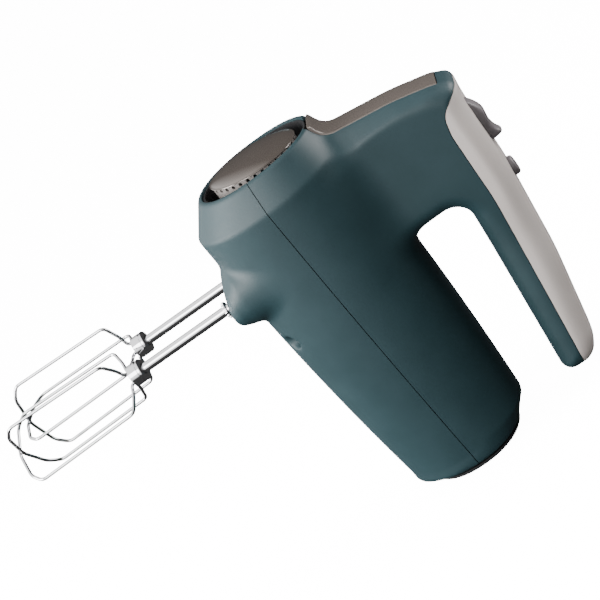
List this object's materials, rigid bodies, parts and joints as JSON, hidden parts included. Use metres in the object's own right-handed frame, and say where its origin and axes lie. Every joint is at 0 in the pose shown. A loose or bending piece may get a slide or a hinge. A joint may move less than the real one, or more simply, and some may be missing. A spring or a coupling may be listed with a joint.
{
  "type": "hand mixer",
  "caption": "Hand-held electric mixer standing on its heel, with two pull-out wire beaters, a cantilever handle, thumb slider and press button, over a worm-geared motor.",
  "frame": {"origin": "centre of the heel face that the mixer is parked on", "axes": "+Z from the heel up to the nose, +X towards the handle (the mixer's own top), -Y its left side; the beaters point to -X"},
  "size_m": [0.3271, 0.0826, 0.22],
  "materials": {
    "body_teal": "fine matte texture",
    "cover_grey": "satin",
    "gloss_grey": "gloss with a metallic tint",
    "control_grey": "satin",
    "black_plastic": "matt",
    "chrome": "polished",
    "steel": "turned",
    "lamination": "stacked sheet",
    "copper": "enamelled wire or segments",
    "brass": "turned",
    "carbon": "matt",
    "nylon": "moulded",
    "board_green": "coated",
    "spring_steel": "drawn wire"
  },
  "bodies": {
    "housing": {"upper_housing": "body_teal", "lower_housing": "body_teal", "handle_cover": "cover_grey", "neck_trim": "gloss_grey", "nose_cap": "gloss_grey", "inlet_tray": "black_plastic", "heel_plate": "black_plastic", "cord_inlet": "black_plastic", "turbo_switch": "black_plastic", "turbo_spring": "spring_steel", "speed_switch_block": "black_plastic", "circuit_board": "board_green", "heat_sink": "steel", "suppression_capacitor": "board_green", "ejector_spring": "spring_steel", "gearbox_frame": "nylon", "rear_bearing": "brass", "front_bearing": "brass", "tip_bearing": "brass", "stator_core": "lamination", "rear_bracket": "black_plastic", "housing_screw_1": "steel", "housing_screw_2": "steel", "housing_screw_3": "steel", "spindle_bush_left": "brass", "brush_holder_left": "brass", "carbon_brush_left": "carbon", "brush_spring_left": "spring_steel", "field_coil_left": "copper", "spindle_bush_right": "brass", "brush_holder_right": "brass", "carbon_brush_right": "carbon", "brush_spring_right": "spring_steel", "field_coil_right": "copper"},
    "rotor": {"motor_shaft": "steel", "armature_core": "lamination", "armature_winding_front": "copper", "armature_winding_rear": "copper", "commutator": "copper", "cooling_fan": "nylon"},
    "left_socket": {"worm_wheel_left": "nylon", "spindle_left": "nylon"},
    "right_socket": {"worm_wheel_right": "nylon", "spindle_right": "nylon"},
    "left_beater": {"beater_rod_left": "chrome", "crimp_ring_left": "chrome", "beater_wire_left_1": "chrome", "beater_wire_left_2": "chrome", "drive_collar": "chrome"},
    "right_beater": {"beater_rod_right": "chrome", "crimp_ring_right": "chrome", "beater_wire_right_1": "chrome", "beater_wire_right_2": "chrome"},
    "speed_slider": {"speed_switch": "control_grey"},
    "turbo_key": {"turbo_button": "control_grey"},
    "ejector_slide_body": {"ejector": "nylon"}
  },
  "joints": [
    {"name": "motor_spin", "type": "hinge", "parent": "housing", "child": "rotor", "pos_m": [0, 0, 0.1606], "axis": [0, 0, 1], "continuous": true},
    {"name": "left_socket_spin", "type": "hinge", "parent": "housing", "child": "left_socket", "pos_m": [0, -0.01775, 0.1606], "axis": [1, 0, 0], "continuous": true},
    {"name": "right_socket_spin", "type": "hinge", "parent": "housing", "child": "right_socket", "pos_m": [0, 0.01775, 0.1606], "axis": [1, 0, 0], "continuous": true},
    {"name": "left_beater_pull", "type": "slide", "parent": "left_socket", "child": "left_beater", "axis": [-1, 0, 0], "range_m": [0, 0.034]},
    {"name": "right_beater_pull", "type": "slide", "parent": "right_socket", "child": "right_beater", "axis": [-1, 0, 0], "range_m": [0, 0.034]},
    {"name": "speed_slide", "type": "slide", "parent": "housing", "child": "speed_slider", "axis": [0, 0, 1], "range_m": [-0.003, 0.009]},
    {"name": "turbo_press", "type": "slide", "parent": "housing", "child": "turbo_key", "axis": [-1, 0, 0], "range_m": [0, 0.0018], "stiffness_N_per_m": 300, "springref_m": -0.001, "deforming": ["turbo_spring"]},
    {"name": "ejector_press", "type": "slide", "parent": "housing", "child": "ejector_slide_body", "axis": [-1, 0, 0], "range_m": [0, 0.006], "stiffness_N_per_m": 250, "springref_m": -0.001, "deforming": ["ejector_spring"]}
  ],
  "couplings": [
    {"joint": "left_socket_spin", "follows": "motor_spin", "ratio": -0.083333},
    {"joint": "right_socket_spin", "follows": "motor_spin", "ratio": 0.083333}
  ]
}
